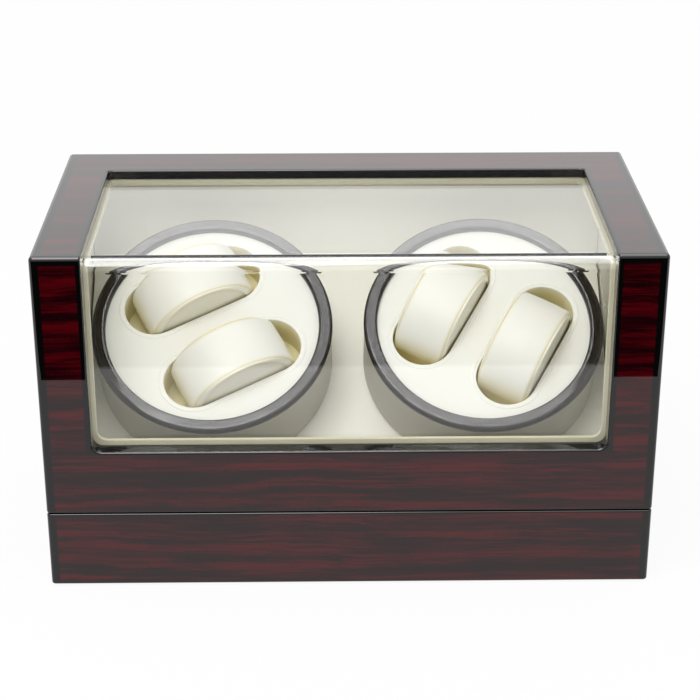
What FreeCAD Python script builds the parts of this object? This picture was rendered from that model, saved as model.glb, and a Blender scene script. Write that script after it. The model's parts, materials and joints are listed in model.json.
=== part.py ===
# Watch winder box: a lacquered case whose windowed lid covers two tilted turntables.
# Millimetres. X runs right, Y runs back and Z up, and the origin is the middle of the underside.
import FreeCAD, Part
import math
import os

import Sketcher
from FreeCAD import Placement, Rotation, Vector

doc = FreeCAD.newDocument("watch_winder_box")

driving_sizes = {
    # Case
    "case_width": 340.0,
    "case_depth": 180.0,
    "case_height": 200.0,
    "base_top": 46.3,
    "lid_gap": 0.4,
    "felt_thickness": 1.0,
    "felt_inset": 4.0,
    "base_wall": 12.0,
    "board_thickness": 5.0,
    "board_rebate": 7.0,
    "side_wall": 12.0,
    "back_wall": 12.0,
    "front_wall": 9.6,
    "top_wall": 5.5,
    "edge_radius": 2.5,
    "rim_radius": 1.2,
    # Window
    "stile_width": 27.5,
    "opening_sill": 84.6,
    "top_strip": 34.4,
    "opening_corner": 5.5,
    "opening_back_corner": 3.0,
    "opening_edge": 1.2,
    "pane_thickness": 3.0,
    "pane_bend": 8.0,
    "pane_overlap": 8.0,
    "liner_thickness": 2.5,
    "liner_reveal": 2.0,
    "lining_thickness": 1.0,
    # Turntables
    "table_side_gap": 8.0,
    "table_mid_gap": 18.0,
    "table_back_gap": 1.0,
    "table_y": -11.0,
    "table_z": 128.0,
    "table_tilt": 37.0,
    "left_turn": 27.0,
    "right_turn": 61.0,
    "ring_width": 8.0,
    "ring_crown": 1.5,
    "ring_outer_round": 2.6,
    "ring_inner_round": 2.0,
    "disc_recess": 2.0,
    "disc_thickness": 2.0,
    "drum_step": 0.5,
    "drum_wall": 2.7,
    "drum_depth": 44.0,
    "drum_floor": 3.0,
    "hub_radius": 7.5,
    "hub_length": 11.0,
    "slot_end_margin": 20.0,
    "slot_width": 35.0,
    "slot_offset": 27.0,
    "slot_edge": 0.9,
    "well_depth": 25.2,
    "well_wall": 1.2,
    # Cushions
    "cushion_end_room": 8.5,
    "cushion_gap": 0.8,
    "cushion_side": 0.4,
    "cushion_crown": 17.5,
    "cushion_swell": 0.5,
    "cushion_shoulder": 10.0,
    "cushion_draw": 3.0,
    "cushion_seam": 1.4,
    "cushion_seat": 0.3,
    # Drive
    "deck_offset": 45.5,
    "deck_thickness": 5.0,
    "deck_margin": 1.5,
    "cheek_thickness": 5.0,
    "spindle_radius": 3.0,
    "bush_radius": 5.0,
    "bush_flange": 1.0,
    "bush_flange_width": 3.0,
    "gear_module": 0.8,
    "gear_teeth": 60.0,
    "pinion_teeth": 20.0,
    "gear_face": 6.0,
    "gear_gap": 4.0,
    "backlash": 0.16,
    "plate_thickness": 2.5,
    "standoff_radius": 3.5,
    "standoff_reach": 23.0,
    "post_inset": 1.85,
    "plate_margin": 6.0,
    "motor_radius": 12.5,
    "gearbox_length": 20.0,
    "motor_length": 22.0,
    "motor_shaft_radius": 2.0,
    "motor_boss": 5.5,
    "motor_screw_reach": 8.8,
    # Hinges
    "hinge_spacing": 210.0,
    "hinge_length": 50.0,
    "knuckle_radius": 2.5,
    "hinge_pin_radius": 1.25,
    "leaf_thickness": 1.2,
    "leaf_depth": 9.0,
    # Controls at the back of the base
    "control_height": 24.0,
    "switch_x": -40.0,
    "knob_radius": 9.0,
    "knob_length": 10.0,
    "knob_shaft_radius": 2.0,
    # Circuit board
    "circuit_width": 90.0,
    "circuit_depth": 56.0,
    "spacer_height": 6.0,
    # Fits
    "running_fit": 0.05,
    "seat_fit": 0.02,
    "clearance": 0.3,
    "screw_radius": 1.5,
}

sheet = doc.addObject("Spreadsheet::Sheet", "Sizes")
for row, (name, amount) in enumerate(driving_sizes.items(), 1):
    sheet.set(f"A{row}", name)
    sheet.set(f"B{row}", str(amount))
    sheet.setAlias(f"B{row}", name)
doc.recompute()


class Size:
    """A number and the sheet formula that gives it, kept together through arithmetic."""

    def __init__(self, value, formula):
        self.value = value
        self.formula = formula

    def __add__(self, other):
        other = size_of(other)
        return Size(self.value + other.value, f"({self.formula} + {other.formula})")

    def __sub__(self, other):
        other = size_of(other)
        return Size(self.value - other.value, f"({self.formula} - {other.formula})")

    def __mul__(self, other):
        other = size_of(other)
        return Size(self.value * other.value, f"({self.formula} * {other.formula})")

    def __truediv__(self, other):
        other = size_of(other)
        return Size(self.value / other.value, f"({self.formula} / {other.formula})")

    def __neg__(self):
        return Size(-self.value, f"(-1 * {self.formula})")

    def __radd__(self, other):
        return size_of(other) + self

    def __rsub__(self, other):
        return size_of(other) - self

    def __rmul__(self, other):
        return size_of(other) * self


def size_of(number):
    return number if isinstance(number, Size) else Size(float(number), repr(float(number)))


def smaller(first, second):
    return Size(min(first.value, second.value), f"min({first.formula}; {second.formula})")


class Sheet:
    """The sheet's cells as named sizes."""


s = Sheet()
for name in driving_sizes:
    setattr(s, name, Size(float(sheet.get(name)), f"Sizes.{name}"))


def tangent(angle):
    return Size(math.tan(math.radians(angle.value)), f"tan({angle.formula} * 1 deg)")


def sine(angle):
    return Size(math.sin(math.radians(angle.value)), f"sin({angle.formula} * 1 deg)")


def cosine(angle):
    return Size(math.cos(math.radians(angle.value)), f"cos({angle.formula} * 1 deg)")


nodes = []


def node(label, item):
    item.Label = label
    nodes.append(item)
    return item


def bind(item, prop, amount):
    item.setExpression(prop, size_of(amount).formula)


def place(item, at):
    for axis, amount in zip("xyz", at):
        bind(item, f"Placement.Base.{axis}", amount)
    return item


# Turns that lay a piece made along +Z along another direction
along = {
    "z": Rotation(),
    "-z": Rotation(Vector(1, 0, 0), 180),
    "x": Rotation(Vector(0, 1, 0), 90),
    "y": Rotation(Vector(1, 0, 0), -90),
}


def box(low, size):
    item = doc.addObject("Part::Box", "Block")
    for prop, amount in zip(("Length", "Width", "Height"), size):
        bind(item, prop, amount)
    return place(item, low)


def rod(radius, length, at, axis="z"):
    item = doc.addObject("Part::Cylinder", "Rod")
    bind(item, "Radius", radius)
    bind(item, "Height", length)
    item.Placement = Placement(Vector(), along[axis])
    return place(item, at)


def cone(start_radius, end_radius, length, at, axis="z"):
    item = doc.addObject("Part::Cone", "Taper")
    bind(item, "Radius1", start_radius)
    bind(item, "Radius2", end_radius)
    bind(item, "Height", length)
    item.Placement = Placement(Vector(), along[axis])
    return place(item, at)


def joined(parts):
    item = doc.addObject("Part::MultiFuse", "Joined")
    item.Shapes = parts
    return item


def grouped(parts):
    item = doc.addObject("Part::Compound", "Group")
    item.Links = parts
    return item


def cut(base, *tools):
    item = doc.addObject("Part::Cut", "Cut")
    item.Base = base
    item.Tool = tools[0] if len(tools) == 1 else joined(list(tools))
    return item


def rounded(base, radius, wanted):
    doc.recompute()
    item = doc.addObject("Part::Fillet", "Rounded")
    item.Base = base
    edges = [index for index, edge in enumerate(base.Shape.Edges, 1) if wanted(edge)]
    item.Edges = [(index, radius.value, radius.value) for index in edges]
    return item


tiny = 1e-4


def is_upright(edge):
    room = edge.BoundBox
    return room.XLength < tiny and room.YLength < tiny


def is_level(edge):
    return edge.BoundBox.ZLength < tiny


def outline(body, plane, points):
    """A closed sketch through the points, each held from the origin by sheet formulas."""
    sketch = body.newObject("Sketcher::SketchObject", "Outline")
    support = next(item for item in body.Origin.OriginFeatures if item.Role == plane)
    sketch.AttachmentSupport = [(support, "")]
    sketch.MapMode = "FlatFace"
    points = [(size_of(x), size_of(y)) for x, y in points]
    corners = [Vector(x.value, y.value, 0) for x, y in points]
    count = len(corners)
    for index in range(count):
        sketch.addGeometry(Part.LineSegment(corners[index], corners[(index + 1) % count]), False)
    for index in range(count):
        sketch.addConstraint(Sketcher.Constraint("Coincident", index, 2, (index + 1) % count, 1))
    for index, (x, y) in enumerate(points):
        for kind, axis_line, amount in (("DistanceX", -2, x), ("DistanceY", -1, y)):
            if abs(amount.value) < tiny:
                sketch.addConstraint(Sketcher.Constraint("PointOnObject", index, 1, axis_line))
                continue
            ends = (-1, 1, index, 1) if amount.value > 0 else (index, 1, -1, 1)
            held = sketch.addConstraint(Sketcher.Constraint(kind, *ends, abs(amount.value)))
            formula = amount.formula if amount.value > 0 else (-amount).formula
            sketch.setExpression(f"Constraints[{held}]", formula)
    return sketch


def padded_outline(points, width):
    """A body with an outline in the YZ plane, padded evenly to both sides along X."""
    body = doc.addObject("PartDesign::Body", "Padded")
    pad = body.newObject("PartDesign::Pad", "Pad")
    pad.Profile = outline(body, "YZ_Plane", points)
    pad.SideType = "Symmetric"
    bind(pad, "Length", width)
    return body


def turned(points):
    """A body with an outline of (radius, height) points turned about Z."""
    body = doc.addObject("PartDesign::Body", "Turned")
    sketch = outline(body, "XZ_Plane", points)
    turn = body.newObject("PartDesign::Revolution", "Turn")
    turn.Profile = sketch
    turn.ReferenceAxis = (sketch, ["V_Axis"])
    turn.Angle = 360
    return body


def soften(body, radius, wanted):
    """A fillet feature on the edges of a body's tip that pass the test."""
    doc.recompute()
    tip = body.Tip
    names = [f"Edge{index}" for index, edge in enumerate(tip.Shape.Edges, 1) if wanted(edge)]
    fillet = body.newObject("PartDesign::Fillet", "Soften")
    fillet.Base = (tip, names)
    bind(fillet, "Radius", radius)
    return body


half_width = s.case_width / 2
half_depth = s.case_depth / 2
lid_bottom = s.base_top + s.lid_gap
board_top = s.felt_thickness + s.board_thickness
opening_width = s.case_width - 2 * s.stile_width
opening_half = opening_width / 2
opening_back = half_depth - s.top_strip

# Turntables: the largest pair that the lid's inside takes in its width, and in its depth under the tilt
lean = math.sin(math.radians(s.table_tilt.value))
level = math.cos(math.radians(s.table_tilt.value))
room_across = half_width - s.side_wall - s.lining_thickness - s.table_side_gap
room_behind = (half_depth - s.back_wall - s.lining_thickness - s.table_back_gap - s.table_y
               - s.drum_depth * lean)
ring_outer = smaller((room_across - s.table_mid_gap / 2) / 2, room_behind / level + s.drum_step)
table_spacing = 2 * ring_outer + s.table_mid_gap
ring_inner = ring_outer - s.ring_width
drum_radius = ring_outer - s.drum_step
slot_length = 2 * (ring_inner - s.slot_end_margin)
cushion_length = slot_length - 2 * s.cushion_end_room

past = 2.0  # how far a cutting block runs past the face that it opens


def countersunk(at, axis, length, shank_radius=s.screw_radius):
    """A flat-headed screw, with its head's face at the given point."""
    head_depth = shank_radius * 1.2
    head = cone(shank_radius * 2, shank_radius, head_depth, (0, 0, 0))
    shank = rod(shank_radius, length - head_depth, (0, 0, head_depth))
    screw = joined([head, shank])
    screw.Placement = Placement(Vector(), along[axis])
    return place(screw, at)


def screw_hole(at, axis, length, shank_radius=s.screw_radius):
    return countersunk(at, axis, length, shank_radius + s.running_fit)


# Hinges: leaves let into the rims, knuckles behind the case, on one pin each
hinge_set_back = 0.1
hinge_y = half_depth + s.knuckle_radius + hinge_set_back
hinge_z = s.base_top + s.lid_gap / 2
hinge_screw_radius = size_of(1.2)
hinge_screw_length = 12.0
hinge_screw_inset = 8.0
knuckle_count = 5
pin_head = 0.6


def knuckles(centre, radius, first, grow):
    """Every second knuckle of a hinge, starting with the first or the second."""
    pitch = s.hinge_length / knuckle_count
    rows = range(first, knuckle_count, 2)
    start = centre - s.hinge_length / 2 - grow
    return [rod(radius, pitch - s.clearance + 2 * grow,
                (start + pitch * row + s.clearance / 2, hinge_y, hinge_z), "x") for row in rows]


def hinge_screw_spots(centre):
    reach = s.hinge_length / 2 - hinge_screw_inset
    y = half_depth - s.leaf_depth / 2
    return [(centre - reach, y), (centre + reach, y)]


def hinge_leaf(centre, first, low, face, axis):
    """One leaf with its knuckles, bored for the pin and countersunk for its screws."""
    plate = box((centre - s.hinge_length / 2, half_depth - s.leaf_depth, low),
                (s.hinge_length, s.leaf_depth + s.knuckle_radius, s.leaf_thickness))
    room = knuckles(centre, s.knuckle_radius + s.clearance, 1 - first, s.clearance)
    leaf = cut(plate, *room)
    leaf = joined([leaf] + knuckles(centre, s.knuckle_radius, first, 0))
    bore = rod(s.hinge_pin_radius + s.running_fit, s.hinge_length + 2 * past,
               (centre - s.hinge_length / 2 - past, hinge_y, hinge_z), "x")
    holes = [screw_hole((x, y, face), axis, hinge_screw_length, hinge_screw_radius)
             for x, y in hinge_screw_spots(centre)]
    return cut(leaf, bore, *holes)


def hinge_mortise(centre, low, height):
    return box((centre - s.hinge_length / 2 - s.seat_fit, half_depth - s.leaf_depth - s.seat_fit, low),
               (s.hinge_length + 2 * s.seat_fit, s.leaf_depth + past, height))


hinge_centres = [s.hinge_spacing / -2, s.hinge_spacing / 2]


def hinge_pin(centre):
    shaft = rod(s.hinge_pin_radius, s.hinge_length, (centre - s.hinge_length / 2, hinge_y, hinge_z), "x")
    heads = [rod(s.hinge_pin_radius + pin_head, pin_head, (x, hinge_y, hinge_z), "x")
             for x in (centre - s.hinge_length / 2 - pin_head, centre + s.hinge_length / 2)]
    return joined([shaft] + heads)


def make_hinges():
    node("hinge_leaves_base", grouped(
        [hinge_leaf(centre, 0, s.base_top - s.leaf_thickness, s.base_top, "-z") for centre in hinge_centres]))
    node("hinge_leaves_lid", grouped(
        [hinge_leaf(centre, 1, lid_bottom, lid_bottom, "z") for centre in hinge_centres]))
    node("hinge_pins", grouped([hinge_pin(centre) for centre in hinge_centres]))
    for label, face, axis in (("hinge_screws_base", s.base_top, "-z"), ("hinge_screws_lid", lid_bottom, "z")):
        node(label, grouped([countersunk((x, y, face), axis, hinge_screw_length, hinge_screw_radius)
                             for centre in hinge_centres for x, y in hinge_screw_spots(centre)]))


def hinge_holes(face, axis):
    return [screw_hole((x, y, face), axis, hinge_screw_length, hinge_screw_radius)
            for centre in hinge_centres for x, y in hinge_screw_spots(centre)]


# Controls: inlet, rotary mode switches and a rocker, through the back wall of the base
wall_face = half_depth
wall_inside = half_depth - s.base_wall
jack_radius = 5.5
jack_collar = 7.0
jack_lip_radius = 7.5
jack_lip = 1.6
jack_bore = 2.75
jack_depth = 9.0
jack_pin = 1.05
jack_pin_end = -0.5
switch_bush = 3.5
switch_nut = 2.0
switch_body = 16.0
switch_depth = 12.0
switch_reach = 4.0
knob_round = 1.0
pointer_width = 1.2
pointer_depth = 1.0
flute_count = 12
flute_radius = 1.5
flute_reach = 0.9
rocker_width = 10.0
rocker_tip = -8.0
rocker_pivot = 4.0
rocker_pin = 1.0
rocker_opening = 17.8
rocker_side = [(-4.0, -3.0), (3.0, -7.6), (6.6, -7.6), (5.4, 0.0), (6.6, 7.6), (3.0, 7.6), (-4.0, 3.0)]
frame_wall = 1.6
frame_flange = 1.5
frame_floor = 2.0
switch_tail = 6.0
switch_width = rocker_width + 2 * s.clearance + 2 * frame_wall
switch_height = rocker_opening + 2 * frame_wall


def make_dc_jack():
    """A round inlet: a body behind the wall, a lip outside it and a centre pin in its bore."""
    back = -2 * s.base_wall
    body = turned([(0, back), (jack_collar, back), (jack_collar, -s.base_wall), (jack_radius, -s.base_wall),
                   (jack_radius, 0), (jack_lip_radius, 0), (jack_lip_radius, jack_lip), (jack_bore, jack_lip),
                   (jack_bore, -jack_depth), (jack_pin, -jack_depth), (jack_pin, jack_pin_end),
                   (0, jack_pin_end)])
    body.Placement = Placement(Vector(0, wall_face.value, s.control_height.value), along["y"])
    node("dc_jack", body)


def mode_switch_x(side):
    return table_spacing / 2 * side


def make_mode_switch(side_name, side):
    x = mode_switch_x(side)
    z = s.control_height
    body = box((x - switch_body / 2, wall_inside - switch_depth, z - switch_body / 2),
               (switch_body, switch_depth, switch_body))
    bush = rod(switch_bush, s.base_wall + switch_reach, (x, wall_inside, z), "y")
    nut = rod(switch_bush + switch_nut, switch_nut, (x, wall_face, z), "y")
    bore = rod(s.knob_shaft_radius + s.running_fit, s.base_wall + switch_reach + past + switch_depth / 2,
               (x, wall_inside - switch_depth / 2, z), "y")
    node(f"mode_switch_{side_name}", cut(joined([body, bush, nut]), bore))


def make_mode_knob(side_name, side):
    """A fluted knob with a pointer groove, on its shaft."""
    x = mode_switch_x(side)
    z = s.control_height
    back = wall_face + switch_reach + s.clearance
    front = back + s.knob_length
    grip = rod(s.knob_radius, s.knob_length, (x, back, z), "y")
    grip = rounded(grip, size_of(knob_round), lambda edge: edge.BoundBox.YMin > front.value - tiny)
    shaft = rod(s.knob_shaft_radius, s.base_wall + switch_reach + s.clearance, (x, wall_inside, z), "y")
    pointer = box((x - pointer_width / 2, front - pointer_depth, z + s.knob_radius / 4),
                  (pointer_width, pointer_depth + past, s.knob_radius))
    reach = s.knob_radius + flute_reach
    flutes = []
    for step in range(flute_count):
        angle = math.radians(360 / flute_count * (step + 0.5))
        spot = (x + reach * math.sin(angle), back + flute_radius, z + reach * math.cos(angle))
        flutes.append(rod(flute_radius, s.knob_length + past, spot, "y"))
    node(f"mode_knob_{side_name}", cut(joined([grip, shaft]), pointer, *flutes))


def make_power_switch():
    """A rocker's frame: a tub through the wall with a flange outside and holes for the rocker's stubs."""
    x = s.switch_x
    z = s.control_height
    left = x - switch_width / 2
    low = z - switch_height / 2
    body = box((left, wall_inside - switch_tail, low),
               (switch_width, s.base_wall + switch_tail, switch_height))
    flange = box((left - frame_flange, wall_face, low - frame_flange),
                 (switch_width + 2 * frame_flange, frame_flange, switch_height + 2 * frame_flange))
    floor = wall_inside - switch_tail + frame_floor
    opening = box((left + frame_wall, floor, low + frame_wall),
                  (switch_width - 2 * frame_wall, s.base_wall + switch_tail + past, rocker_opening))
    pin_hole = rod(rocker_pin + s.running_fit, switch_width - frame_wall,
                   (left + frame_wall / 2, wall_face - rocker_pivot, z), "x")
    node("power_switch", cut(joined([body, flange]), opening, pin_hole))


def make_power_rocker():
    """A shallow V-faced rocker on two pivot stubs, tipped to its off side."""
    body = padded_outline(rocker_side, rocker_width)
    stub_length = rocker_width + frame_wall
    stubs = rod(rocker_pin, stub_length, (-stub_length / 2, 0, 0), "x")
    rocker = joined([body, stubs])
    pivot = Vector(s.switch_x.value, wall_face.value - rocker_pivot, s.control_height.value)
    rocker.Placement = Placement(pivot, Rotation(Vector(1, 0, 0), rocker_tip))
    node("power_rocker", rocker)


# Base: wall ring, bottom board and felt
bottom_screw_length = 16.0
bottom_screw_inset = 9.0
bottom_screw_rows = (-0.98, -0.35, 0.35, 0.98)


def bottom_screw_spots():
    x = half_width - bottom_screw_inset
    y = half_depth - bottom_screw_inset
    return [(x * row, y * edge) for row in bottom_screw_rows for edge in (-1, 1)]


def bottom_holes():
    return [screw_hole((x, y, s.felt_thickness), "z", bottom_screw_length) for x, y in bottom_screw_spots()]


def make_base():
    height = s.base_top - s.felt_thickness
    block = box((-half_width, -half_depth, s.felt_thickness), (s.case_width, s.case_depth, height))
    block = rounded(block, s.edge_radius, is_upright)
    block = rounded(block, s.rim_radius, is_level)
    hollow = box((s.base_wall - half_width, s.base_wall - half_depth, 0),
                 (s.case_width - 2 * s.base_wall, s.case_depth - 2 * s.base_wall, s.base_top + past))
    ledge = s.base_wall - s.board_rebate
    rebate = box((ledge - half_width, ledge - half_depth, 0),
                 (s.case_width - 2 * ledge, s.case_depth - 2 * ledge, board_top))
    through = s.base_wall + 2 * past
    z = s.control_height
    holes = [rod(jack_radius + s.running_fit, through, (0, wall_inside - past, z), "y")]
    holes += [rod(switch_bush + s.running_fit, through, (mode_switch_x(side), wall_inside - past, z), "y")
              for side in (-1, 1)]
    hole_width = switch_width + 2 * s.running_fit
    hole_height = switch_height + 2 * s.running_fit
    holes.append(box((s.switch_x - hole_width / 2, wall_inside - past, z - hole_height / 2),
                     (hole_width, through, hole_height)))
    mortises = [hinge_mortise(centre, s.base_top - s.leaf_thickness, s.leaf_thickness + past)
                for centre in hinge_centres]
    holes += bottom_holes() + hinge_holes(s.base_top, "-z")
    node("base_case", cut(block, hollow, rebate, *holes, *mortises))

    inset = ledge + s.running_fit
    board = box((inset - half_width, inset - half_depth, s.felt_thickness),
                (s.case_width - 2 * inset, s.case_depth - 2 * inset, s.board_thickness))
    node("bottom_board", cut(board, *bottom_holes()))
    node("bottom_screws", grouped([countersunk((x, y, s.felt_thickness), "z", bottom_screw_length)
                                   for x, y in bottom_screw_spots()]))
    felt = box((s.felt_inset - half_width, s.felt_inset - half_depth, 0),
               (s.case_width - 2 * s.felt_inset, s.case_depth - 2 * s.felt_inset, s.felt_thickness))
    node("base_felt", rounded(felt, s.edge_radius, is_upright))


# Lid: shell with its window, the pane behind it, the liner and the linings
pane_front = s.front_wall - half_depth
pane_top = s.case_height - s.top_wall
liner_front = pane_front + s.pane_thickness
liner_top = pane_top - s.pane_thickness
liner_inside = liner_front + s.liner_thickness
lining_foot = lid_bottom + 2 * s.clearance


def window_block(inset):
    """The block that opens front and top together, with its lower and rear corners rounded."""
    front = -half_depth - past
    sill = s.opening_sill + inset
    back = opening_back - inset
    block = box((inset - opening_half, front, sill),
                (opening_width - 2 * inset, back - front, s.case_height + past - sill))
    block = rounded(block, s.opening_corner, lambda edge: (
        edge.BoundBox.YLength > tiny and is_level(edge) and edge.BoundBox.XLength < tiny
        and edge.BoundBox.ZMax < sill.value + tiny))
    return rounded(block, s.opening_back_corner, lambda edge: (
        is_upright(edge) and edge.BoundBox.YMin > back.value - tiny))


def make_lid():
    height = s.case_height - lid_bottom
    block = box((-half_width, -half_depth, lid_bottom), (s.case_width, s.case_depth, height))
    block = rounded(block, s.edge_radius, is_upright)
    block = rounded(block, s.edge_radius, lambda edge: (
        is_level(edge) and edge.BoundBox.ZMin > s.case_height.value - tiny))
    block = rounded(block, s.rim_radius, lambda edge: (
        is_level(edge) and edge.BoundBox.ZMax < lid_bottom.value + tiny))
    cavity = box((s.side_wall - half_width, s.front_wall - half_depth, lid_bottom - past),
                 (s.case_width - 2 * s.side_wall, s.case_depth - s.front_wall - s.back_wall,
                  pane_top - lid_bottom + past))
    shell = cut(block, cavity, window_block(size_of(0)))
    front_band = s.edge_radius.value - half_depth.value + tiny
    top_band = s.case_height.value - s.edge_radius.value - tiny

    def on_opening(edge):
        room = edge.BoundBox
        inside = max(-room.XMin, room.XMax) < opening_half.value + tiny
        return inside and (room.YMax < front_band or room.ZMin > top_band)

    shell = rounded(shell, s.opening_edge, on_opening)
    mortises = [hinge_mortise(centre, lid_bottom - past, s.leaf_thickness + past) for centre in hinge_centres]
    node("lid_shell", cut(shell, *mortises, *hinge_holes(lid_bottom, "z")))


def make_pane():
    low = s.opening_sill - s.pane_overlap
    back = opening_back + s.pane_overlap
    points = [(pane_front, low), (liner_front, low), (liner_front, liner_top), (back, liner_top),
              (back, pane_top), (pane_front, pane_top)]
    body = padded_outline(points, opening_width + 2 * s.pane_overlap)

    def bend_at(y, z):
        return lambda edge: (edge.BoundBox.XLength > tiny and abs(edge.BoundBox.YMin - y.value) < tiny
                             and abs(edge.BoundBox.ZMin - z.value) < tiny)

    soften(body, s.pane_bend, bend_at(pane_front, pane_top))
    soften(body, s.pane_bend - s.pane_thickness, bend_at(liner_front, liner_top))
    node("window_pane", body)


def make_linings():
    inside_half = half_width - s.side_wall
    lining_face = half_depth - s.back_wall - s.lining_thickness
    thick = s.liner_thickness
    points = [(liner_front, lining_foot), (liner_inside, lining_foot), (liner_inside, liner_top - thick),
              (lining_face - s.clearance, liner_top - thick), (lining_face - s.clearance, liner_top),
              (liner_front, liner_top)]
    body = padded_outline(points, 2 * (inside_half - s.lining_thickness - s.clearance))
    soften(body, s.pane_bend - s.pane_thickness + s.clearance, lambda edge: (
        edge.BoundBox.XLength > tiny and abs(edge.BoundBox.YMin - liner_front.value) < tiny
        and abs(edge.BoundBox.ZMin - liner_top.value) < tiny))
    node("pane_liner", cut(body, window_block(s.liner_reveal)))
    back_height = liner_top - thick - s.clearance - lining_foot
    back_half = inside_half - s.lining_thickness - s.clearance
    node("lid_back_lining", box((-back_half, lining_face, lining_foot),
                                (2 * back_half, s.lining_thickness, back_height)))
    depth = s.case_depth - s.front_wall - s.back_wall - 2 * s.clearance
    side_sheets = [box((x, pane_front + s.clearance, lining_foot),
                       (s.lining_thickness, depth, pane_top - s.clearance - lining_foot))
                   for x in (-inside_half, inside_half - s.lining_thickness)]
    node("lid_side_linings", grouped(side_sheets))


# Turntable frame: X right, Y up the slope of the face, Z out of the face, from the ring's plane
disc_face = -s.disc_recess
disc_back = disc_face - s.disc_thickness
seat_radius = drum_radius - s.drum_wall
drum_back = -s.drum_depth
drum_inside = drum_back + s.drum_floor
hub_top = drum_inside + s.hub_length
deck_top = -s.deck_offset
deck_low = deck_top - s.deck_thickness
gear_top = deck_low - s.gear_gap
gear_low = gear_top - s.gear_face
plate_top = gear_low - s.gear_gap
plate_low = plate_top - s.plate_thickness
gear_centres = s.gear_module * (s.gear_teeth + s.pinion_teeth) / 2
clip_thickness = 0.7
clip_width = 2.6
ledge_width = 2.3
ledge_depth = 3.0
clip_top = plate_low - s.bush_flange - s.clearance
clip_low = clip_top - clip_thickness
groove_depth = 0.6
spindle_end = clip_low - past
sides = (("left", -1), ("right", 1))


def table_frame(side, turn=0.0):
    centre = Vector(side * table_spacing.value / 2, s.table_y.value, s.table_z.value)
    return Placement(centre, Rotation(Vector(1, 0, 0), s.table_tilt.value) * Rotation(Vector(0, 0, 1), turn))


def on_table(item, side, turn=0.0):
    item.Placement = table_frame(side, turn)
    return item


rest_turn = {-1: s.left_turn.value, 1: s.right_turn.value}


def obround(length, width, low, height, offset):
    straight = length - width
    parts = [box((straight / -2, offset - width / 2, low), (straight, width, height))]
    parts += [rod(width / 2, height, (straight / 2 * end, offset, low)) for end in (-1, 1)]
    return joined(parts)


def make_ring(side_name, side):
    crown = s.ring_crown
    body = turned([(ring_inner, disc_face), (ring_outer, disc_face),
                   (ring_outer, crown), (ring_inner, crown)])

    def crown_edge(radius):
        return lambda edge: (abs(edge.BoundBox.ZMin - crown.value) < tiny and is_level(edge)
                             and abs(edge.BoundBox.XMax - radius.value) < tiny)

    soften(body, s.ring_outer_round, crown_edge(ring_outer))
    soften(body, s.ring_inner_round, crown_edge(ring_inner))
    node(f"ring_{side_name}", on_table(body, side))


def make_drum(side_name, side):
    bore = s.spindle_radius + s.seat_fit
    ledge = seat_radius - ledge_width
    ledge_low = disc_back - ledge_depth
    body = turned([(bore, drum_back), (drum_radius, drum_back),
                   (drum_radius, disc_face), (seat_radius, disc_face),
                   (seat_radius, disc_back), (ledge, disc_back),
                   (ledge, ledge_low), (seat_radius, ledge_low),
                   (seat_radius, drum_inside), (s.hub_radius, drum_inside),
                   (s.hub_radius, hub_top), (bore, hub_top)])
    node(f"drum_{side_name}", on_table(body, side))


def make_face_disc(side_name, side):
    disc = rod(seat_radius - s.running_fit, s.disc_thickness, (0, 0, disc_back))
    height = s.disc_thickness + 2 * past
    slots = [obround(slot_length, s.slot_width, disc_back - past, height, s.slot_offset * row)
             for row in (-1, 1)]
    disc = cut(disc, *slots)
    disc = rounded(disc, s.slot_edge, lambda edge: (
        is_level(edge) and abs(edge.BoundBox.ZMin - disc_face.value) < tiny
        and edge.BoundBox.XLength < 2 * ring_inner.value))
    node(f"face_disc_{side_name}", on_table(disc, side, rest_turn[side]))


def make_wells(side_name, side):
    floor = -s.well_depth
    tubs = []
    for row in (-1, 1):
        outer = obround(slot_length + 2 * s.well_wall, s.slot_width + 2 * s.well_wall, floor - s.well_wall,
                        disc_back - floor + s.well_wall, s.slot_offset * row)
        inner = obround(slot_length, s.slot_width, floor, s.well_depth, s.slot_offset * row)
        tubs.append(cut(outer, inner))
    node(f"cushion_wells_{side_name}", on_table(grouped(tubs), side, rest_turn[side]))


def make_spindle(side_name, side):
    radius = s.spindle_radius
    groove = radius - groove_depth
    body = turned([(0, spindle_end), (radius, spindle_end), (radius, clip_low), (groove, clip_low),
                   (groove, clip_top), (radius, clip_top), (radius, hub_top), (0, hub_top)])
    node(f"spindle_{side_name}", on_table(body, side))
    ring = rod(radius + clip_width, clip_thickness - 2 * s.seat_fit, (0, 0, clip_low + s.seat_fit))
    hole = rod(groove + s.seat_fit, clip_thickness, (0, 0, clip_low))
    mouth = box((0, groove * -0.8, clip_low), (radius * 3, groove * 1.6, clip_thickness))
    node(f"spindle_clip_{side_name}", on_table(cut(ring, hole, mouth), side))


pressure_angle = 20.0


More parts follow.
